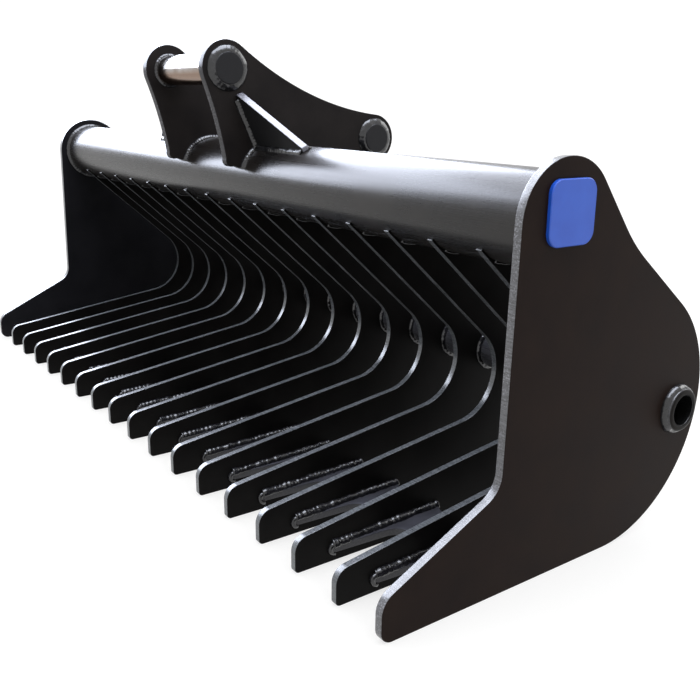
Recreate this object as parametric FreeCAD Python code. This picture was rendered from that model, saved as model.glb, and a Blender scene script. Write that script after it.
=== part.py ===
"""Skeleton (riddle) bucket for a 7 to 8 tonne excavator, in millimetres.

A row of C-shaped tines is welded round a torque tube at the top and a smaller cross tube low at the
back, between two side plates. Two hitch ears stand on the torque tube and hold the two hitch pins.

+X runs along the tubes to the bucket's right, +Y to the rear, +Z up. The bucket rests on its flat
bottom, and the origin is on that plane, under the middle of the bucket's box. Profiles are drawn
about the torque tube's axis as (y, z), and every piece is moved to the origin when it is written.
"""
import FreeCAD, Part
import os
from math import atan2, cos, degrees, radians, sin, tan

# ---------------------------------------------------------------- driving dimensions
WIDTH = 1500.0            # over the side plates
PLATE_T = 12.0            # side plate thickness
TINE_T = 10.0             # tine thickness
TINE_COUNT = 16

TUBE_R = 57.15            # torque tube, 114.3 mm outside
TUBE_WALL = 8.8
REAR_TUBE_R = 30.15       # rear cross tube, 60.3 mm outside
REAR_BORE_R = 21.0
REAR_TUBE_YZ = (250.0, -267.0)
REAR_TUBE_PROUD = 12.0    # how far it stands out of each side plate

BOTTOM = -434.0           # the flat bottom, below the torque tube's axis
TIP = -250.0              # the foremost point of the side plates
HEEL = 300.0              # the rearmost point
HEEL_R = 186.0            # radius from the flat bottom up to the rear
PLATE_HEAD_R = 73.0       # side plate's rounded head, round the torque tube
TINE_INSET = 6.0          # how far the tines' rear edge lies inside the side plates'
REAR_SLOPE = 37.0         # degrees below level of the side plate's rear slope
NECK_SLOPE = 50.7         # the same, just below its rounded head
ARM_SLOPE = 41.6          # degrees below level of the tine's upper arm
SOLE_SLOPE = 8.0          # degrees by which the tine's lower arm rises to the rear

HITCH_GAP = 200.0         # clear width between the ears
EAR_T = 15.0
PIN_R = 25.0
PIN_PROUD = 8.0
FRONT_PIN_YZ = (-78.0, 172.0)
REAR_PIN_YZ = (212.0, 63.0)
FRONT_BOSS_R = 43.0
REAR_BOSS_R = 41.0

GUSSET_T = 12.0
GUSSET_FOOT = 140.0       # length along the torque tube
GUSSET_TOP = 147.0        # how high it reaches up the ear, from the torque tube's axis
GUSSET_TOE = 7.0

SPACER_T = 10.0
SPACER_FRONT = (-197.0, -411.0)   # upper front edge of a spacer plate
SPACER_LENGTH = 180.0
SPACER_SLOPE = 2.0        # degrees by which it rises to the rear

BADGE_T = 5.0
BADGE_SIZE = 74.0
BADGE_YZ = (0.0, 12.0)

# ---------------------------------------------------------------- derived places
TUBE_Y = -(TIP + HEEL) / 2
TUBE_Z = -BOTTOM
TO_ORIGIN = FreeCAD.Vector(0, TUBE_Y, TUBE_Z)
INSIDE = WIDTH / 2 - PLATE_T                    # side plates' inner faces
PITCH = (WIDTH - PLATE_T) / (TINE_COUNT + 1)    # from plate or tine to the next, mid to mid
ALONG_X = FreeCAD.Vector(1, 0, 0)


def polar(centre, radius, angle):
    """The (y, z) point at an angle in degrees from +Y towards +Z."""
    a = radians(angle)
    return centre[0] + radius * cos(a), centre[1] + radius * sin(a)


def line_at(distance, normal_angle):
    """A straight line in the profile plane, as its unit normal and its distance from the tube's axis."""
    a = radians(normal_angle)
    return cos(a), sin(a), distance


def crossing(one, two):
    """Where two such lines cross."""
    det = one[0] * two[1] - one[1] * two[0]
    return ((one[2] * two[1] - two[2] * one[1]) / det, (one[0] * two[2] - two[0] * one[2]) / det)


def in_plane(point, x):
    return FreeCAD.Vector(x, point[0], point[1])


def rounded_wire(corners, x):
    """A closed wire in the plane at x from corners (y, z, radius), with an arc at each rounded one."""
    ends = []
    count = len(corners)
    for i, (y, z, radius) in enumerate(corners):
        here = FreeCAD.Vector(x, y, z)
        if not radius:
            ends.append((here, None, here))
            continue
        before = FreeCAD.Vector(x, *corners[i - 1][:2]) - here
        after = FreeCAD.Vector(x, *corners[(i + 1) % count][:2]) - here
        before.normalize()
        after.normalize()
        half = before.getAngle(after) / 2
        reach = radius / tan(half)
        middle = (before + after).normalize() * (radius / sin(half) - radius)
        ends.append((here + before * reach, here + middle, here + after * reach))
    edges = []
    for i, (start, middle, end) in enumerate(ends):
        if middle:
            edges.append(Part.Arc(start, middle, end).toShape())
        following = ends[(i + 1) % count][0]
        if end.distanceToPoint(following) > 0.01:
            edges.append(Part.LineSegment(end, following).toShape())
    return Part.Wire(Part.__sortEdges__(edges))


def plate(wire, thickness):
    """A flat plate from a profile wire, thick along +X."""
    return Part.Face(wire).extrude(ALONG_X * thickness)


def rod(radius, x0, x1, yz=(0.0, 0.0)):
    """A round bar along X."""
    return Part.makeCylinder(radius, x1 - x0, in_plane(yz, x0), ALONG_X)


def rear_corners(inset):
    """The corners behind the torque tube, from its neck down to the heel, inset from the side plate's."""
    neck = line_at(PLATE_HEAD_R - inset, 90 - NECK_SLOPE)
    slope_point = polar((HEEL - 160.0, BOTTOM + HEEL_R), 160.0, 90 - REAR_SLOPE)
    a = radians(90 - REAR_SLOPE)
    slope = line_at(slope_point[0] * cos(a) + slope_point[1] * sin(a) - inset, 90 - REAR_SLOPE)
    rear = line_at(HEEL - inset, 0)
    return [
        (*crossing(neck, slope), 250.0 + inset),
        (*crossing(slope, rear), 160.0 - inset),
        (HEEL - inset, BOTTOM, HEEL_R - inset),
    ]


def side_plate(x0):
    """The end plate: a head round the torque tube, a sloped tip and a rounded heel."""
    head = PLATE_HEAD_R
    corners = [
        (-head, head, head),
        (head * tan(radians(NECK_SLOPE / 2)), head, head),
        *rear_corners(0.0),
        (TIP, BOTTOM, 15.0),
        (TIP, -383.0, 28.0),
        (-80.5, -300.0, 35.0),
    ]
    shape = plate(rounded_wire(corners, x0), PLATE_T)
    return shape.cut(rod(REAR_TUBE_R, x0 - 1, x0 + PLATE_T + 1, REAR_TUBE_YZ))


def tine(x0):
    """A C-shaped rib with a half-round cradle for the torque tube and a hole for the rear one."""
    arm = line_at(-59.5, 90 - ARM_SLOPE)
    sole_a = radians(90 + SOLE_SLOPE)
    sole = line_at(-17.0 * cos(sole_a) - 357.0 * sin(sole_a), 90 + SOLE_SLOPE)
    front = line_at(TIP + 3.0, 0)
    cradle = 41.0                     # angle of the cradle's rear end; its front end is opposite
    corners = [
        (*polar((0, 0), PLATE_HEAD_R - TINE_INSET, cradle), 0),
        *rear_corners(TINE_INSET),
        (TIP + 3.0, BOTTOM, 6.0),
        (*crossing(sole, front), 20.0),
        (*crossing(arm, sole), 74.0),
        (*polar((0, 0), 60.0, cradle + 180), 0),
    ]
    shape = plate(rounded_wire(corners, x0), TINE_T)
    shape = shape.cut(rod(TUBE_R, x0 - 1, x0 + TINE_T + 1))
    return shape.cut(rod(REAR_TUBE_R, x0 - 1, x0 + TINE_T + 1, REAR_TUBE_YZ))


def spacer(x0, x1):
    """A flat plate between two ribs, scalloped deeply in front and lightly behind."""
    y0, z0 = SPACER_FRONT
    y1 = y0 + SPACER_LENGTH
    leg, root = 3.0, 15.0             # width of the two front legs at their tips and at the scallop
    scallop = y0 + 101.0              # the scallop's deepest point
    middle = (x0 + x1) / 2
    corners = [(x0, y0), (x0 + leg, y0), (x0 + root, scallop), (x1 - root, scallop), (x1 - leg, y0),
               (x1, y0), (x1, y1)]
    points = [FreeCAD.Vector(x, y, z0) for x, y in corners]
    edges = [Part.LineSegment(a, b).toShape() for a, b in zip(points, points[1:])]
    rear = Part.Arc(points[-1], FreeCAD.Vector(middle, y1 - 12.0, z0), FreeCAD.Vector(x0, y1, z0))
    edges.append(rear.toShape())
    edges.append(Part.LineSegment(FreeCAD.Vector(x0, y1, z0), points[0]).toShape())
    shape = Part.Face(Part.Wire(edges)).extrude(FreeCAD.Vector(0, 0, -SPACER_T))
    deep = [e for e in shape.Edges if len(e.Vertexes) == 2
            and all(abs(v.Y - scallop) < 0.01 for v in e.Vertexes[:1])
            and abs(e.Vertexes[0].Z - e.Vertexes[1].Z) > 1]
    shape = shape.makeFillet(22.0, deep)
    shape.rotate(FreeCAD.Vector(0, y0, z0), ALONG_X, SPACER_SLOPE)
    return shape


def hitch_ear(x0):
    """A hitch plate: saddled over the torque tube, with a boss for each pin and a hollow top edge."""
    saddle = 163.0                    # angle of the saddle's front end; its rear end is opposite
    start = polar((0, 0), 74.0, saddle)
    toe = (-84.5, 34.0)
    front_low = polar(FRONT_PIN_YZ, FRONT_BOSS_R, 199)
    front_high = polar(FRONT_PIN_YZ, FRONT_BOSS_R, 52)
    rear_high = polar(REAR_PIN_YZ, REAR_BOSS_R, 83)
    rear_low = polar(REAR_PIN_YZ, REAR_BOSS_R, -72.3)
    finish = polar((0, 0), 80.0, saddle - 180)

    def arc(a, b, c):
        return Part.Arc(in_plane(a, x0), in_plane(b, x0), in_plane(c, x0)).toShape()

    def line(a, b):
        return Part.LineSegment(in_plane(a, x0), in_plane(b, x0)).toShape()

    edges = [
        arc(start, (-82.0, 23.5), toe),
        arc(toe, (-96.0, 88.0), front_low),
        arc(front_low, polar(FRONT_PIN_YZ, FRONT_BOSS_R, 125), front_high),
        arc(front_high, (75.8, 136.6), rear_high),
        arc(rear_high, polar(REAR_PIN_YZ, REAR_BOSS_R, 5), rear_low),
        line(rear_low, finish),
        line(finish, start),
    ]
    shape = plate(Part.Wire(edges), EAR_T)
    shape = shape.cut(rod(TUBE_R, x0 - 1, x0 + EAR_T + 1))
    for pin in (FRONT_PIN_YZ, REAR_PIN_YZ):
        shape = shape.cut(rod(PIN_R, x0 - 1, x0 + EAR_T + 1, pin))
    return shape


def ear_gusset(side):
    """A triangular plate in the plane of the torque tube's axis and the front pin's."""
    foot = HITCH_GAP / 2 + EAR_T
    points = [
        (foot, TUBE_R - 4.0), (foot + GUSSET_FOOT, TUBE_R - 4.0),
        (foot + GUSSET_FOOT, TUBE_R + GUSSET_TOE), (foot + 6.0, GUSSET_TOP), (foot, GUSSET_TOP),
    ]
    corners = [FreeCAD.Vector(side * x, r, -GUSSET_T / 2) for x, r in points]
    shape = Part.Face(Part.makePolygon(corners + corners[:1])).extrude(FreeCAD.Vector(0, 0, GUSSET_T))
    shape.rotate(FreeCAD.Vector(0, 0, 0), ALONG_X, degrees(atan2(FRONT_PIN_YZ[1], FRONT_PIN_YZ[0])))
    return shape.cut(rod(TUBE_R, -INSIDE, INSIDE))


def torque_tube():
    return rod(TUBE_R, -INSIDE, INSIDE).cut(rod(TUBE_R - TUBE_WALL, -INSIDE, INSIDE))


def rear_cross_tube():
    reach = WIDTH / 2 + REAR_TUBE_PROUD
    return rod(REAR_TUBE_R, -reach, reach, REAR_TUBE_YZ).cut(rod(REAR_BORE_R, -reach, reach, REAR_TUBE_YZ))


def hitch_pin(yz):
    reach = HITCH_GAP / 2 + EAR_T + PIN_PROUD
    shape = rod(PIN_R, -reach, reach, yz)
    rims = [e for e in shape.Edges if hasattr(e.Curve, "Radius")]
    return shape.makeChamfer(1.5, rims)


def badge_plate():
    """A plain raised plate with rounded corners, on the right side plate's outer face."""
    y, z = BADGE_YZ
    half = BADGE_SIZE / 2
    corners = [(y - half, z - half, 16.0), (y + half, z - half, 16.0),
               (y + half, z + half, 16.0), (y - half, z + half, 16.0)]
    shape = plate(rounded_wire(corners, WIDTH / 2), BADGE_T)
    front = [f for f in shape.Faces if abs(f.CenterOfMass.x - WIDTH / 2 - BADGE_T) < 0.01]
    return shape.makeChamfer(1.0, front[0].Edges)


def main():
    os.makedirs("parts", exist_ok=True)
    nodes = {
        "torque_tube": torque_tube(),
        "rear_cross_tube": rear_cross_tube(),
        "side_plate_left": side_plate(-WIDTH / 2),
        "side_plate_right": side_plate(INSIDE),
        "hitch_ear_left": hitch_ear(-HITCH_GAP / 2 - EAR_T),
        "hitch_ear_right": hitch_ear(HITCH_GAP / 2),
        "ear_gusset_left": ear_gusset(-1),
        "ear_gusset_right": ear_gusset(1),
        "front_pin": hitch_pin(FRONT_PIN_YZ),
        "rear_pin": hitch_pin(REAR_PIN_YZ),
        "badge_plate": badge_plate(),
    }
    first = -(TINE_COUNT - 1) / 2 * PITCH - TINE_T / 2
    lefts = [first + i * PITCH for i in range(TINE_COUNT)]
    for i, x in enumerate(lefts, 1):
        nodes[f"tine_{i:02d}"] = tine(x)
    walls = [-INSIDE] + [x + TINE_T for x in lefts]
    for i, (x0, x1) in enumerate(zip(walls, lefts + [INSIDE]), 1):
        nodes[f"spacer_{i:02d}"] = spacer(x0, x1)
    for name, shape in nodes.items():
        shape.translate(TO_ORIGIN)
        if not shape.isValid() or len(shape.Solids) != 1:
            print("check", name, shape.isValid(), len(shape.Solids))
        shape.exportStep(f"parts/{name}.step")


main()
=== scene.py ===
"""Skeleton bucket for an excavator: painted plates, tubes and tines, polished hitch pins and weld beads."""
from math import atan2, cos, hypot, pi, radians, sin

import bmesh
import bpy
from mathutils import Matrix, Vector, noise


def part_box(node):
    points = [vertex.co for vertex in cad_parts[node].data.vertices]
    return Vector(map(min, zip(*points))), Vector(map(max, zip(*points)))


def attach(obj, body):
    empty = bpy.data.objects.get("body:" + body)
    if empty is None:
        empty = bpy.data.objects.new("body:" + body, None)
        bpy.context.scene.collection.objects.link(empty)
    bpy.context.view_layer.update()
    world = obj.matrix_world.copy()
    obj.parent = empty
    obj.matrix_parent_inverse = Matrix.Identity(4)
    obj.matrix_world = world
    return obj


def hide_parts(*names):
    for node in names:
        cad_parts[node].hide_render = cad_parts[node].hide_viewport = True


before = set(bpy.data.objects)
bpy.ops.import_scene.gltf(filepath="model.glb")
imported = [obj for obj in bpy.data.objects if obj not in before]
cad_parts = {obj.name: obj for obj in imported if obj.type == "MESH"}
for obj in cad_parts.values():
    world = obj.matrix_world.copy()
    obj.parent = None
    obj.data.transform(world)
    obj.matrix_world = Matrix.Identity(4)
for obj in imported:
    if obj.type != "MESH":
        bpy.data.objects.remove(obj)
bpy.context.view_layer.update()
scene = bpy.context.scene


# ---------------------------------------------------------------- places, from the frame
def middle(node):
    lo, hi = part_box(node)
    return (lo + hi) / 2


def half_height(node):
    lo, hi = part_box(node)
    return (hi.z - lo.z) / 2


TUBE = middle("torque_tube")
TUBE_R = half_height("torque_tube")
REAR = middle("rear_cross_tube")
REAR_R = half_height("rear_cross_tube")
PINS = {name: middle(name) for name in ("front_pin", "rear_pin")}
PIN_R = half_height("front_pin")
TINES = sorted(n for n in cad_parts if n.startswith("tine_"))
SPACERS = sorted(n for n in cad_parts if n.startswith("spacer_"))
CRADLE = 41.0             # degrees round the torque tube from +Y, where a tine's saddle begins behind
SADDLE = -17.0            # the same, where an ear's half-round saddle begins behind
EAR_INNER = 0.099         # how far from the middle the pins' bare steel reaches, just short of the ears
BORE_R = 0.021            # the rear cross tube's bore
GUSSET_HALF = 0.006       # half an ear gusset's thickness
GUSSET_TOP = 0.140        # how high its bead climbs the ear, from the torque tube's axis
SPACER_RISE = radians(2.0)
SPACER_LENGTH = 0.180


# ---------------------------------------------------------------- materials
def linear(colour):
    """An sRGB hex colour as linear RGBA."""
    parts = [int(colour[i:i + 2], 16) / 255 for i in (1, 3, 5)]
    return [c / 12.92 if c <= 0.04045 else ((c + 0.055) / 1.055) ** 2.4 for c in parts] + [1.0]


def add(tree, kind, settings=None, **links):
    """Adds a node. settings holds its attributes, its unlinked sockets and a ramp's stops, which are pairs of
    position and grey level or hex colour. links are its incoming links by socket name."""
    node = tree.nodes.new("ShaderNode" + kind)
    for key, value in (settings or {}).items():
        if key == "stops":
            elements = node.color_ramp.elements
            for element, (place, shade) in zip(elements, value):
                element.position = place
                element.color = linear(shade) if isinstance(shade, str) else [shade, shade, shade, 1.0]
        elif isinstance(key, str) and hasattr(node, key) and key not in node.inputs:
            setattr(node, key, value)
        else:
            node.inputs[key].default_value = value
    for socket, source in links.items():
        if socket.startswith("in"):
            socket = int(socket[2:])
        else:
            socket = socket.replace("_", " ")
        tree.links.new(source, node.inputs[socket])
    return node


def start(name):
    """A new material with its node tree and its principled shader."""
    material = bpy.data.materials.new(name)
    material.use_nodes = True
    tree = material.node_tree
    return material, tree, tree.nodes["Principled BSDF"]


def satin_black_plate(name, dark, light, across=(1.0, 0.0, 0.0), rim_painted_light=("#343437", "#4c4c50"),
                      dust=1.0, gloss=0.9):
    """Two-pack black on rolled plate: a deep satin black with soft mottling. The flame-cut rims are glossier and
    painted a grey that stands in for the light and shade on them (a painted highlight), with fine cutting lines
    across the plate's thickness and a dusting of pale grit. across is the direction of the plate's thickness,
    rim_painted_light the rims' two painted greys, dust the amount of grit and gloss that of clear coat on the rims."""
    material, tree, shader = start(name)
    where = add(tree, "TexCoord").outputs["Object"]
    normal = add(tree, "NewGeometry").outputs["Normal"]
    facing = add(tree, "VectorMath", {"operation": "DOT_PRODUCT", 1: across}, in0=normal).outputs["Value"]
    flat = add(tree, "Math", {"operation": "ABSOLUTE"}, in0=facing).outputs[0]
    rim = add(tree, "MapRange", {"From Min": 0.75, "From Max": 0.35}, Value=flat).outputs["Result"]
    # mottling about 60 mm across, and the orange peel of sprayed paint about 3 mm across
    cloud = add(tree, "TexNoise", {"Scale": 16.0, "Detail": 4.0, "Roughness": 0.6}, Vector=where).outputs["Fac"]
    peel = add(tree, "TexNoise", {"Scale": 330.0, "Detail": 2.0}, Vector=where).outputs["Fac"]
    # cutting lines 1.5 mm apart along the rim; they run across the thickness, so X is squeezed out
    lines_at = add(tree, "Mapping", {"Scale": (0.08, 1.0, 1.0)}, Vector=where).outputs["Vector"]
    lines = add(tree, "TexNoise", {"Scale": 650.0, "Detail": 1.0}, Vector=lines_at).outputs["Fac"]
    # grit about 2 mm across, thicker in some patches than in others
    grit = add(tree, "TexNoise", {"Scale": 420.0, "Detail": 3.0, "Roughness": 0.7}, Vector=where).outputs["Fac"]
    specks = add(tree, "ValToRGB", {"stops": [(0.53, 0.0), (0.66, 1.0)]}, Fac=grit).outputs["Color"]
    patches = add(tree, "ValToRGB", {"stops": [(0.40, 0.15), (0.64, 1.0)]}, Fac=cloud).outputs["Color"]
    dusted = add(tree, "Math", {"operation": "MULTIPLY"}, in0=specks, in1=patches).outputs[0]
    dusted = add(tree, "Math", {"operation": "MULTIPLY"}, in0=dusted, in1=rim).outputs[0]
    dusted = add(tree, "Math", {"operation": "MULTIPLY", 1: dust}, in0=dusted).outputs[0]
    face = add(tree, "ValToRGB", {"stops": [(0.3, dark), (0.7, light)]}, Fac=cloud).outputs["Color"]
    # painted highlight: the rims' grey from rim_painted_light stands in for the light they catch, streaked by the
    # cutting lines
    edge = add(tree, "ValToRGB", {"stops": [(0.35, rim_painted_light[0]), (0.65, rim_painted_light[1])]}, Fac=lines).outputs["Color"]
    base = add(tree, "Mix", {"data_type": "RGBA"}, in0=rim, in6=face, in7=edge).outputs[2]
    base = add(tree, "Mix", {"data_type": "RGBA", 7: linear("#5e5d61")}, in0=dusted, in6=base).outputs[2]
    tree.links.new(base, shader.inputs["Base Color"])
    rough = add(tree, "MapRange", {"To Min": 0.36, "To Max": 0.50}, Value=cloud).outputs["Result"]
    worn = add(tree, "MapRange", {"From Min": 0.3, "From Max": 0.7, "To Min": 0.26, "To Max": 0.32},
               Value=grit).outputs["Result"]
    rough = add(tree, "Mix", {"data_type": "FLOAT"}, in0=rim, in2=rough, in3=worn).outputs[0]
    tree.links.new(rough, shader.inputs["Roughness"])
    coat = add(tree, "Math", {"operation": "MULTIPLY", 1: gloss}, in0=rim).outputs[0]
    tree.links.new(coat, shader.inputs["Coat Weight"])
    shader.inputs["Specular IOR Level"].default_value = 0.06
    shader.inputs["Coat IOR"].default_value = 1.7
    shader.inputs["Coat Roughness"].default_value = 0.26
    cut = add(tree, "Math", {"operation": "MULTIPLY"}, in0=lines, in1=rim).outputs[0]
    bump = add(tree, "Bump", {"Strength": 0.05, "Distance": 0.001}, Height=peel).outputs["Normal"]
    bump = add(tree, "Bump", {"Strength": 0.16, "Distance": 0.001}, Height=cut, Normal=bump).outputs["Normal"]
    tree.links.new(bump, shader.inputs["Normal"])
    return material


def gloss_black_tube():
    """Black enamel on drawn tube: deeper gloss than the plates, faint drawing lines along the tube, and a
    brown cast where the coat is thin."""
    material, tree, shader = start("gloss_black_tube")
    where = add(tree, "TexCoord").outputs["Object"]
    # drawing lines about 4 mm apart and 400 mm long
    along = add(tree, "Mapping", {"Scale": (0.01, 1.0, 1.0)}, Vector=where).outputs["Vector"]
    lines = add(tree, "TexNoise", {"Scale": 250.0, "Detail": 2.0}, Vector=along).outputs["Fac"]
    cloud = add(tree, "TexNoise", {"Scale": 12.0, "Detail": 5.0, "Roughness": 0.6}, Vector=where).outputs["Fac"]
    peel = add(tree, "TexNoise", {"Scale": 300.0, "Detail": 2.0}, Vector=where).outputs["Fac"]
    base = add(tree, "ValToRGB", {"stops": [(0.3, "#0c0b0b"), (0.7, "#171412")]}, Fac=cloud).outputs["Color"]
    tree.links.new(base, shader.inputs["Base Color"])
    rough = add(tree, "Math", {"operation": "MULTIPLY"}, in0=lines, in1=cloud).outputs[0]
    rough = add(tree, "MapRange", {"From Min": 0.1, "From Max": 0.4, "To Min": 0.25, "To Max": 0.31},
                Value=rough).outputs["Result"]
    tree.links.new(rough, shader.inputs["Roughness"])
    shader.inputs["Specular IOR Level"].default_value = 0.29
    shader.inputs["Coat Weight"].default_value = 0.1
    shader.inputs["Coat Roughness"].default_value = 0.2
    bump = add(tree, "Bump", {"Strength": 0.06, "Distance": 0.001}, Height=peel).outputs["Normal"]
    tree.links.new(bump, shader.inputs["Normal"])
    return material


def turned_pin_steel():
    """Turned and polished carbon steel: bright bands with fine rings round the pin, and a painted brown reflection on
    its underside that stands in for the brown surroundings it reflects. The welded ends are painted black with the
    ears."""
    material, tree, shader = start("turned_pin_steel")
    where = add(tree, "TexCoord").outputs["Object"]
    x = add(tree, "SeparateXYZ", None, Vector=where).outputs["X"]
    out = add(tree, "Math", {"operation": "ABSOLUTE"}, in0=x).outputs[0]
    painted = add(tree, "Math", {"operation": "GREATER_THAN", 1: EAR_INNER}, in0=out).outputs[0]
    # turning rings 1 mm apart
    rings_at = add(tree, "Mapping", {"Scale": (1.0, 0.05, 0.05)}, Vector=where).outputs["Vector"]
    rings = add(tree, "TexNoise", {"Scale": 900.0, "Detail": 2.0}, Vector=rings_at).outputs["Fac"]
    cloud = add(tree, "TexNoise", {"Scale": 30.0, "Detail": 4.0}, Vector=where).outputs["Fac"]
    steel = add(tree, "ValToRGB", {"stops": [(0.35, "#8d8983"), (0.6, "#b4b4b4")]}, Fac=cloud).outputs["Color"]
    normal = add(tree, "NewGeometry").outputs["Normal"]
    # painted reflection: where the pin faces down its steel is tinted brown, standing in for the surroundings it
    # reflects
    upward = add(tree, "SeparateXYZ", None, Vector=normal).outputs["Z"]
    under = add(tree, "MapRange", {"From Min": 0.15, "From Max": -0.35}, Value=upward).outputs["Result"]
    steel = add(tree, "Mix", {"data_type": "RGBA", 7: linear("#7b6352")}, in0=under, in6=steel).outputs[2]
    base = add(tree, "Mix", {"data_type": "RGBA", 7: linear("#18181a")}, in0=painted, in6=steel).outputs[2]
    tree.links.new(base, shader.inputs["Base Color"])
    bare = add(tree, "Math", {"operation": "SUBTRACT", 0: 1.0}, in1=painted).outputs[0]
    tree.links.new(bare, shader.inputs["Metallic"])
    rough = add(tree, "MapRange", {"To Min": 0.10, "To Max": 0.24}, Value=rings).outputs["Result"]
    rough = add(tree, "Mix", {"data_type": "FLOAT", 3: 0.36}, in0=painted, in2=rough).outputs[0]
    tree.links.new(rough, shader.inputs["Roughness"])
    shader.inputs["Specular IOR Level"].default_value = 0.16
    bump = add(tree, "Bump", {"Strength": 0.08, "Distance": 0.0005}, Height=rings).outputs["Normal"]
    tree.links.new(bump, shader.inputs["Normal"])
    return material


def blue_enamel():
    """Blue stoving enamel on the badge: even and glossy, a little darker where it has pooled."""
    material, tree, shader = start("blue_enamel")
    where = add(tree, "TexCoord").outputs["Object"]
    cloud = add(tree, "TexNoise", {"Scale": 40.0, "Detail": 3.0}, Vector=where).outputs["Fac"]
    peel = add(tree, "TexNoise", {"Scale": 400.0, "Detail": 1.0}, Vector=where).outputs["Fac"]
    base = add(tree, "ValToRGB", {"stops": [(0.3, "#123f9a"), (0.7, "#1947a3")]}, Fac=cloud).outputs["Color"]
    tree.links.new(base, shader.inputs["Base Color"])
    rough = add(tree, "MapRange", {"To Min": 0.28, "To Max": 0.4}, Value=cloud).outputs["Result"]
    tree.links.new(rough, shader.inputs["Roughness"])
    bump = add(tree, "Bump", {"Strength": 0.05, "Distance": 0.0005}, Height=peel).outputs["Normal"]
    tree.links.new(bump, shader.inputs["Normal"])
    return material


def painted_weld():
    """A weld bead under the same black paint: the thick coat pools glossy on the ripples' crests, with small
    rough spots of spatter."""
    material, tree, shader = start("painted_weld")
    where = add(tree, "TexCoord").outputs["Object"]
    fine = add(tree, "TexNoise", {"Scale": 260.0, "Detail": 2.0}, Vector=where).outputs["Fac"]
    cloud = add(tree, "TexNoise", {"Scale": 60.0, "Detail": 3.0}, Vector=where).outputs["Fac"]
    base = add(tree, "ValToRGB", {"stops": [(0.35, "#0b0b0c"), (0.7, "#17171a")]}, Fac=cloud).outputs["Color"]
    tree.links.new(base, shader.inputs["Base Color"])
    rough = add(tree, "MapRange", {"To Min": 0.16, "To Max": 0.34}, Value=cloud).outputs["Result"]
    tree.links.new(rough, shader.inputs["Roughness"])
    shader.inputs["Specular IOR Level"].default_value = 0.3
    shader.inputs["Coat Weight"].default_value = 0.7
    shader.inputs["Coat Roughness"].default_value = 0.07
    bump = add(tree, "Bump", {"Strength": 0.45, "Distance": 0.001}, Height=fine).outputs["Normal"]
    tree.links.new(bump, shader.inputs["Normal"])
    return material


def studio_paper():
    """Matt pale studio paper over a light table, with a barely visible tooth. The light from below keeps the
    shadows thin."""
    material, tree, shader = start("studio_paper")
    where = add(tree, "TexCoord").outputs["Object"]
    tooth = add(tree, "TexNoise", {"Scale": 120.0, "Detail": 2.0}, Vector=where).outputs["Fac"]
    base = add(tree, "ValToRGB", {"stops": [(0.3, "#a3a3a3"), (0.7, "#a7a7a7")]}, Fac=tooth).outputs["Color"]
    tree.links.new(base, shader.inputs["Base Color"])
    shader.inputs["Roughness"].default_value = 0.8
    shader.inputs["Specular IOR Level"].default_value = 0.2
    shader.inputs["Emission Color"].default_value = linear("#ffffff")
    shader.inputs["Emission Strength"].default_value = 0.66
    return material


# painted reflection: the right side plate's warm brown black stands in for the brown surroundings it reflects; the
# left plate keeps the paint's own neutral black
RIGHT_PLATE_PAINTED_REFLECTION = satin_black_plate("satin_black_right_plate_painted_reflection", "#120a08", "#19100c", rim_painted_light=("#222223", "#404042"), dust=1.5)
LEFT = satin_black_plate("satin_black_left_plate", "#101012", "#161618", rim_painted_light=("#29292a", "#3c3c3e"))
# painted shade: the tines' faces are a darker black than the side plates', standing in for the shade inside the bucket
TINE_PLATE_PAINTED_SHADE = satin_black_plate("satin_black_tine_plate_painted_shade", "#080707", "#0e0d0c", rim_painted_light=("#2e3032", "#424547"), gloss=0.75)
PIN_LINE = (PINS["front_pin"] - TUBE).normalized()
# painted highlight: the gussets' pale rim greys stand in for the light on their top edges
GUSSET = satin_black_plate("satin_black_gusset_painted_rim_highlight", "#0e0e0f", "#161617", (0.0, PIN_LINE.z, -PIN_LINE.y),
                           ("#4a4a50", "#66666e"))
# painted light: the ears' rims take darker greys than the other plates', standing in for the dimmer light on them
EAR = satin_black_plate("satin_black_ear", "#151313", "#1e1b1a", rim_painted_light=("#19181a", "#272628"), gloss=0.12)
# painted light: the spacers' faces are a lighter black than the other plates', standing in for the light on their
# upper faces
SPACER_PAINTED_LIGHT = satin_black_plate("satin_black_spacer", "#222225", "#35353a", (0.0, 0.0, 1.0), ("#202024", "#2b2b2f"),
                           dust=0.0, gloss=0.5)
# painted light: the cross tube's round surface counts as rim and takes a mid grey that stands in for the light on it
# between the tines
CROSS_TUBE_PAINTED_LIGHT = satin_black_plate("satin_black_cross_tube_painted_light", "#121110", "#1a1817", rim_painted_light=("#29292c", "#38383c"),
                               dust=0.0)
# painted shade: a near-black for the inside of the cross tube's bore, standing in for the shade there
BORE_PAINTED_SHADE = satin_black_plate("bore_black", "#0a0a0a", "#101010", rim_painted_light=("#060606", "#0b0b0b"), dust=0.0)
ENAMEL = gloss_black_tube()
STEEL = turned_pin_steel()
BADGE = blue_enamel()
WELD = painted_weld()

OWN = {"side_plate_right": RIGHT_PLATE_PAINTED_REFLECTION, "side_plate_left": LEFT, "hitch_ear": EAR, "ear_gusset": GUSSET, "spacer": SPACER_PAINTED_LIGHT}
FINISH = {"painted_plate": TINE_PLATE_PAINTED_SHADE, "painted_tube": ENAMEL, "pin_steel": STEEL, "badge_paint": BADGE}


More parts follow.
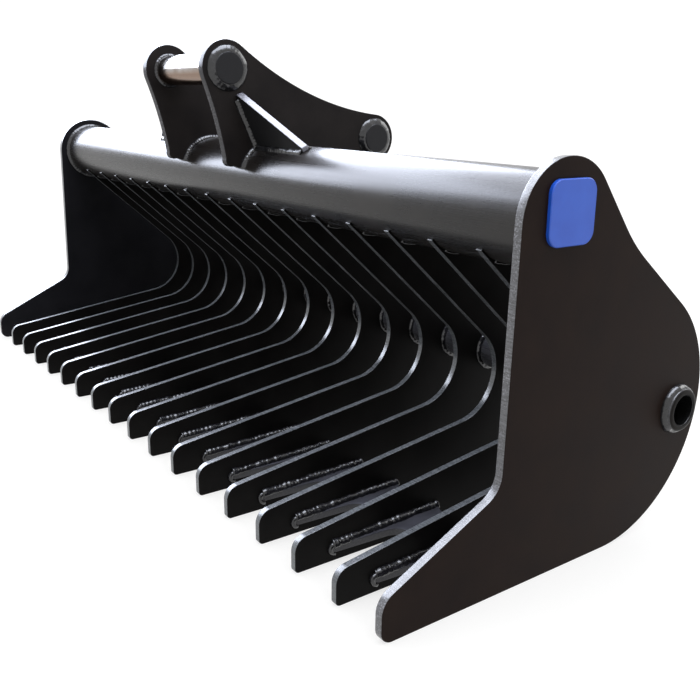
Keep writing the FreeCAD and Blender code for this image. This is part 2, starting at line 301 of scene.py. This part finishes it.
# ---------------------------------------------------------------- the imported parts: finish and eased edges
def ease_edges(node, width, segments=2):
    """Rounds a plate's sharp edges as grinding and paint do, with modifiers only."""
    weld = node.modifiers.new("merge", "WELD")
    weld.merge_threshold = 1e-5
    flat = node.modifiers.new("flats", "DECIMATE")
    flat.decimate_type = "DISSOLVE"
    flat.angle_limit = radians(0.4)
    bevel = node.modifiers.new("edges", "BEVEL")
    bevel.width = width
    bevel.segments = segments
    bevel.limit_method = "ANGLE"
    bevel.angle_limit = radians(40)
    bevel.harden_normals = False
    shade = node.modifiers.new("shade", "WEIGHTED_NORMAL")
    shade.weight = 100
    shade.keep_sharp = False


EASED = {"side_plate": 0.0012, "hitch_ear": 0.0012, "ear_gusset": 0.0012}

for name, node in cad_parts.items():
    for slot in node.material_slots:
        slot.material = OWN.get(name) or OWN.get(name.rsplit("_", 1)[0]) or FINISH[slot.material.name.split(".")[0]]
    if name not in ("torque_tube", "badge_plate"):
        ease_edges(node, EASED.get(name.rsplit("_", 1)[0], 0.0009))


# ---------------------------------------------------------------- weld beads
def section(leg, bulge=0.0012, sink=0.0015, rise=None):
    """A fillet bead's cross-section as (away from the first face, away from the second): a hump between its
    two toes and a root sunk into the joint. rise is its leg along the second face, where that differs."""
    rise = rise or leg
    points = [(-sink, -sink), (rise, -sink)]
    for i in range(5):
        t = i / 4
        out = bulge * sin(pi * t) * 0.7
        points.append((rise * (1 - t) + out, leg * t + out))
    points.append((-sink, leg))
    return points


def close_section(bm, corners):
    """A closed loop of edges through corners given as 3-D points."""
    verts = [bm.verts.new(c) for c in corners]
    return verts + [bm.edges.new((a, b)) for a, b in zip(verts, verts[1:] + verts[:1])]


def sweep(corners, centre, axis, angle, steps, along=(0, 0, 0)):
    """Spins a closed section round an axis, or runs it straight when the angle is 0, and caps open ends."""
    bm = bmesh.new()
    loop = close_section(bm, corners)
    full = abs(angle - 2 * pi) < 1e-6
    made = bmesh.ops.spin(bm, geom=loop, cent=centre, axis=axis, angle=angle, steps=steps,
                          dvec=Vector(along) / steps, use_merge=full, use_duplicate=False)
    if not full:
        for ring in (loop, made["geom_last"]):
            bmesh.ops.contextual_create(bm, geom=[e for e in ring if isinstance(e, bmesh.types.BMEdge)])
    return bm


def pour(bead, bm):
    """Adds a finished bead to its piece."""
    mesh = bpy.data.meshes.new("bead")
    bead.to_mesh(mesh)
    bead.free()
    bm.from_mesh(mesh)
    bpy.data.meshes.remove(mesh)


def ripple(verts, place, spine, pitch=0.0055, height=0.0005, wander=0.0009, seed=0.0):
    """Raises the ripples of the weld pool, crescents that trail off towards the toes, and lets the bead swell
    and shrink. place gives the distance run along the bead and spine the nearest point of its root."""
    for v in verts:
        root = spine(v.co)
        out = v.co - root
        if out.length < 0.0025:
            continue
        run = place(v.co)
        strength = 0.5 + noise.noise(Vector((run * 45.0, seed, 3.0)))
        coin = sin(2 * pi * (run + 0.3 * out.length + 0.0012 * noise.noise(v.co * 200.0)) / pitch)
        drift = noise.noise(Vector((run * 80.0, seed, 0.0))) + 0.45 * noise.noise(v.co * 150.0)
        v.co = v.co + out.normalized() * (coin * height * max(0.0, strength) + drift * wander)


def round_bead(bm, centre, radius, x, side, leg, a0=0.0, a1=360.0, seed=0.0, pitch=0.0055, height=0.0005,
               wander=0.0009, bulge=0.0012, rise=None):
    """A fillet bead round a bar along X: one leg along the bar, the other out over the plate's face at x."""
    full = a1 - a0 >= 360.0
    a = radians(a0)
    out = Vector((0, cos(a), sin(a)))
    corners = []
    for along, away in section(leg, bulge, rise=rise):
        corners.append(Vector((x + side * along, centre.y, centre.z)) + out * (radius + away))
    angle = radians(a1 - a0)
    steps = max(8, int(angle * radius / (pitch / 4)))
    bead = sweep(corners, (x, centre.y, centre.z), (1, 0, 0), 2 * pi if full else angle, steps)

    def place(co):
        turn = atan2(co.z - centre.z, co.y - centre.y) - a
        return (turn % (2 * pi)) * radius

    def spine(co):
        flat = Vector((0, co.y - centre.y, co.z - centre.z)).normalized()
        return Vector((x, centre.y, centre.z)) + flat * radius

    if full:
        turns = round(2 * pi * radius / pitch)
        pitch = 2 * pi * radius / turns
    ripple(bead.verts, place, spine, pitch, height, wander, seed)
    pour(bead, bm)


def around_tube(bm, x, side, a0, a1, leg, seed, pitch=0.0055, height=0.0005):
    """A bead where a plate's face at x stands on the torque tube, from angle a0 to a1 about its axis."""
    round_bead(bm, TUBE, TUBE_R, x, side, leg, a0=a0, a1=a1, seed=seed, pitch=pitch, height=height)


def straight_bead(bm, a, b, one, two, leg, seed=0.0, pitch=0.0055, height=0.0005, wander=0.0009, bulge=0.0012):
    """A fillet bead from a to b in the corner between two faces, whose outward directions are one and two."""
    run = b - a
    corners = [a + one * p + two * q for p, q in section(leg, bulge)]
    bead = sweep(corners, a, run.normalized(), 0.0, max(4, int(run.length / (pitch / 4))), run)
    line = run.normalized()
    ripple(bead.verts, lambda co: (co - a).dot(line), lambda co: a + line * (co - a).dot(line), pitch, height,
           wander, seed)
    pour(bead, bm)


def hook(bm, x, side, centre, reach, thick, a0, a1, seed=0.0):
    """A round bead that hooks over a plate's tip, lying on the neighbour's face at x."""
    a = radians(a0)
    out = Vector((0, cos(a), sin(a)))
    corners = [Vector((x + side * thick * (0.25 + cos(t)), centre.y, centre.z)) + out * (reach + thick * sin(t))
               for t in (pi * i / 4 for i in range(8))]
    bead = sweep(corners, (x, centre.y, centre.z), (1, 0, 0), radians(a1 - a0), 18)
    for v in bead.verts:
        turn = Vector((0, v.co.y - centre.y, v.co.z - centre.z)).normalized()
        core = Vector((x, centre.y, centre.z)) + turn * reach
        swell = 1.0 + 0.3 * noise.noise(v.co * 110.0 + Vector((seed, 0, 0)))
        v.co = core + (v.co - core) * swell
    pour(bead, bm)


def piece(name, bm, material):
    """Finishes a bmesh as a smooth-shaded piece riding on the bucket."""
    bmesh.ops.recalc_face_normals(bm, faces=bm.faces)
    mesh = bpy.data.meshes.new(name)
    bm.to_mesh(mesh)
    bm.free()
    mesh.materials.append(material)
    mesh.shade_smooth()
    made = bpy.data.objects.new(name, mesh)
    scene.collection.objects.link(made)
    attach(made, "root")
    return made


def rear_tube():
    """The rear cross tube, with its two ends eased inside and out, and a darker black in its bore that paints the
    shade there.
    """
    lo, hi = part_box("rear_cross_tube")
    ease, lip = 0.0042, 0.0016
    corners = [(lo.x + ease, REAR_R), (lo.x + ease * 0.3, REAR_R - ease * 0.3), (lo.x, REAR_R - ease),
               (lo.x, BORE_R + lip), (lo.x + lip * 0.3, BORE_R + lip * 0.3), (lo.x + lip, BORE_R)]
    corners += [(lo.x + hi.x - x, r) for x, r in reversed(corners)]
    tube = sweep([Vector((x, REAR.y, REAR.z + r)) for x, r in corners], REAR, (1, 0, 0), 2 * pi, 96)
    # painted shade: the bore's faces take the second, darker material
    for face in tube.faces:
        at = face.calc_center_median()
        face.material_index = int(hypot(at.y - REAR.y, at.z - REAR.z) < BORE_R + lip)
    made = piece("rear_cross_tube_turned", tube, CROSS_TUBE_PAINTED_LIGHT)
    made.data.materials.append(BORE_PAINTED_SHADE)
    sharp = made.modifiers.new("shade", "WEIGHTED_NORMAL")
    sharp.weight = 100
    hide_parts("rear_cross_tube")


def weld_pins():
    """A wide fillet round both ends of each pin, on the ears' outer faces, and a small one inside."""
    bm = bmesh.new()
    for n, centre in enumerate(PINS.values()):
        for side, ear in ((-1, "hitch_ear_left"), (1, "hitch_ear_right")):
            lo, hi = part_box(ear)
            outer, inner = (hi.x, lo.x) if side > 0 else (lo.x, hi.x)
            round_bead(bm, centre, PIN_R, outer, side, 0.0105, seed=n * 7 + side, pitch=0.0062, height=0.0002,
                       wander=0.0012, bulge=0.0014, rise=0.0068)
            round_bead(bm, centre, PIN_R, inner, -side, 0.004, seed=n * 5 + side, bulge=0.0006)
    return piece("weld_pins", bm, WELD)


def weld_bosses():
    """The cross tube's ends: a broad rippled fillet on each side plate's outer face."""
    bm = bmesh.new()
    for side, plate in ((-1, "side_plate_left"), (1, "side_plate_right")):
        lo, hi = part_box(plate)
        x = hi.x if side > 0 else lo.x
        round_bead(bm, REAR, REAR_R, x, side, 0.0048, seed=side + 4.0, pitch=0.0068, height=0.0003, wander=0.0012,
                   bulge=0.0012, rise=0.0085)
    return piece("weld_bosses", bm, WELD)


def weld_ears():
    """The ears' saddles on the torque tube, beaded on both faces."""
    bm = bmesh.new()
    for n, ear in enumerate(("hitch_ear_left", "hitch_ear_right")):
        lo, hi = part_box(ear)
        for x, side in ((lo.x, -1), (hi.x, 1)):
            around_tube(bm, x, side, SADDLE, SADDLE + 180.0, 0.0062, seed=3 * n + side, pitch=0.0052)
    return piece("weld_ears", bm, WELD)


def weld_gussets():
    """Each ear gusset: beads down both its faces on the ear and along the torque tube."""
    bm = bmesh.new()
    pin = PINS["front_pin"]
    up = Vector((0, pin.y - TUBE.y, pin.z - TUBE.z)).normalized()
    across = Vector((0, up.z, -up.y))
    for side, ear, gusset in ((-1, "hitch_ear_left", "ear_gusset_left"),
                              (1, "hitch_ear_right", "ear_gusset_right")):
        lo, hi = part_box(ear)
        glo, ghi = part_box(gusset)
        face = hi.x if side > 0 else lo.x
        far = ghi.x if side > 0 else glo.x
        for way in (-1, 1):
            edge = across * way * GUSSET_HALF
            foot = Vector((face, TUBE.y, TUBE.z)) + edge
            straight_bead(bm, foot + up * (TUBE_R - 0.002), foot + up * GUSSET_TOP, Vector((side, 0, 0)), across * way,
                          0.006, seed=way + side, pitch=0.0052)
            straight_bead(bm, foot + up * (TUBE_R - 0.0006),
                          Vector((far - side * 0.002, TUBE.y, TUBE.z)) + edge + up * (TUBE_R - 0.0006),
                          up, across * way, 0.006, seed=2 * way + side, pitch=0.0052)
    return piece("weld_gussets", bm, WELD)


def weld_tines_torque_tube():
    """Each tine's cradle under the torque tube, beaded on both faces, and the side plates' inner faces."""
    bm = bmesh.new()
    for n, tine in enumerate(TINES):
        lo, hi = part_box(tine)
        for x, side in ((lo.x, -1), (hi.x, 1)):
            around_tube(bm, x, side, CRADLE + 206.0, CRADLE + 358.0, 0.0026, seed=n + side * 0.5, pitch=0.008,
                        height=0.0002)
    for side, plate in ((1, "side_plate_left"), (-1, "side_plate_right")):
        lo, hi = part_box(plate)
        x = hi.x if side > 0 else lo.x
        round_bead(bm, TUBE, TUBE_R, x, side, 0.0065, seed=side, pitch=0.006)
    return piece("weld_torque_tube", bm, WELD)


def weld_tines_rear_tube():
    """Where the tines and side plates pass the rear cross tube, beaded on both faces."""
    bm = bmesh.new()
    for n, tine in enumerate(TINES):
        lo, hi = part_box(tine)
        for x, side in ((lo.x, -1), (hi.x, 1)):
            round_bead(bm, REAR, REAR_R, x, side, 0.0055, seed=n * 2 + side, pitch=0.008)
    for side, plate in ((1, "side_plate_left"), (-1, "side_plate_right")):
        lo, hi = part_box(plate)
        x = hi.x if side > 0 else lo.x
        round_bead(bm, REAR, REAR_R, x, side, 0.006, seed=side, pitch=0.008)
    return piece("weld_rear_tube", bm, WELD)


def weld_spacers():
    """Each spacer's upper edges against its two neighbours, the bead hooked round its front tips."""
    bm = bmesh.new()
    for n, name in enumerate(SPACERS):
        lo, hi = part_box(name)
        front = Vector((0, lo.y + 0.0003, hi.z - sin(SPACER_RISE) * SPACER_LENGTH))
        line = Vector((0, cos(SPACER_RISE), sin(SPACER_RISE)))
        up = Vector((0, -sin(SPACER_RISE), cos(SPACER_RISE)))
        for x, side in ((lo.x, 1), (hi.x, -1)):
            a = Vector((x, 0, 0)) + front
            straight_bead(bm, a + line * 0.004, a + line * (SPACER_LENGTH - 0.002), up, Vector((side, 0, 0)), 0.0070,
                          seed=n + side * 0.3, pitch=0.0075, height=0.0006, wander=0.0016, bulge=0.0018)
            hook(bm, x, side, a + line * 0.0062 - up * 0.0056, 0.0056, 0.0040, 60.0, 275.0, seed=n * 3 + side)
    return piece("weld_spacers", bm, WELD)


for build in (rear_tube, weld_pins, weld_bosses, weld_ears, weld_gussets, weld_tines_torque_tube,
              weld_tines_rear_tube, weld_spacers):
    build()


# ---------------------------------------------------------------- floor, light and camera
def studio_floor():
    """A round sweep of paper: flat under the bucket and curved up all round."""
    bm = bmesh.new()
    profile = [Vector((0, 0, 0)), Vector((4.5, 0, 0))]
    for i in range(1, 13):
        a = radians(90 * i / 12)
        profile.append(Vector((4.5 + 2.5 * sin(a), 0, 2.5 - 2.5 * cos(a))))
    profile.append(Vector((7.0, 0, 6.0)))
    verts = [bm.verts.new(p) for p in profile]
    edges = [bm.edges.new(pair) for pair in zip(verts, verts[1:])]
    bmesh.ops.spin(bm, geom=verts + edges, cent=(0, 0, 0), axis=(0, 0, 1), angle=2 * pi, steps=96, use_merge=True)
    bmesh.ops.remove_doubles(bm, verts=bm.verts, dist=1e-5)
    bmesh.ops.recalc_face_normals(bm, faces=bm.faces)
    if sum(f.normal.z * f.calc_area() for f in bm.faces) < 0:
        bmesh.ops.reverse_faces(bm, faces=bm.faces)
    mesh = bpy.data.meshes.new("studio_floor")
    bm.to_mesh(mesh)
    bm.free()
    mesh.materials.append(studio_paper())
    mesh.shade_smooth()
    floor = bpy.data.objects.new("studio_floor", mesh)
    scene.collection.objects.link(floor)
    return floor


def softbox(name, place, aim, size, radiance, colour="#ffffff", spare=None):
    """A rectangular area light facing a point, given by the brightness of its face. It lights all but spare."""
    light = bpy.data.lights.new(name, "AREA")
    light.shape = "RECTANGLE"
    light.size, light.size_y = size
    light.energy = radiance * pi * size[0] * size[1]
    light.color = linear(colour)[:3]
    lamp = bpy.data.objects.new(name, light)
    lamp.location = place
    lamp.rotation_euler = (Vector(aim) - Vector(place)).to_track_quat("-Z", "Y").to_euler()
    lamp.visible_camera = False
    scene.collection.objects.link(lamp)
    if spare:
        kept_dark = bpy.data.collections.new(name + "_spares")
        kept_dark.objects.link(spare)
        lamp.light_linking.receiver_collection = kept_dark
        kept_dark.collection_objects[0].light_linking.link_state = "EXCLUDE"
    return lamp


def set_light(floor):
    world = bpy.data.worlds.new("studio_air")
    scene.world = world
    world.use_nodes = True
    world.node_tree.nodes["Background"].inputs["Color"].default_value = linear("#f6f6f6")
    world.node_tree.nodes["Background"].inputs["Strength"].default_value = 1.42
    softbox("left_wall", (-2.6, -0.05, 1.95), (0, 0, 0.35), (4.6, 2.3), 13.2, "#e6edff", floor)
    softbox("overhead", (0.0, -0.2, 3.2), (0, 0, 0.3), (3.6, 3.2), 9.4, "#e9efff", floor)
    softbox("rear_fill", (0.8, 3.2, 1.8), (0, 0, 0.3), (2.4, 1.4), 2.5)


def set_camera():
    data = bpy.data.cameras.new("camera")
    data.sensor_width = 36.0
    data.lens = 43.83
    data.shift_x, data.shift_y = -0.0308, -0.0096
    data.clip_end = 60.0
    camera = bpy.data.objects.new("camera", data)
    camera.location = (1.3651, -0.7644, 0.5567)
    camera.rotation_euler = (radians(74.289), radians(-1.0), radians(52.949))
    scene.collection.objects.link(camera)
    scene.camera = camera


set_light(studio_floor())
set_camera()
scene.view_settings.view_transform = "Standard"
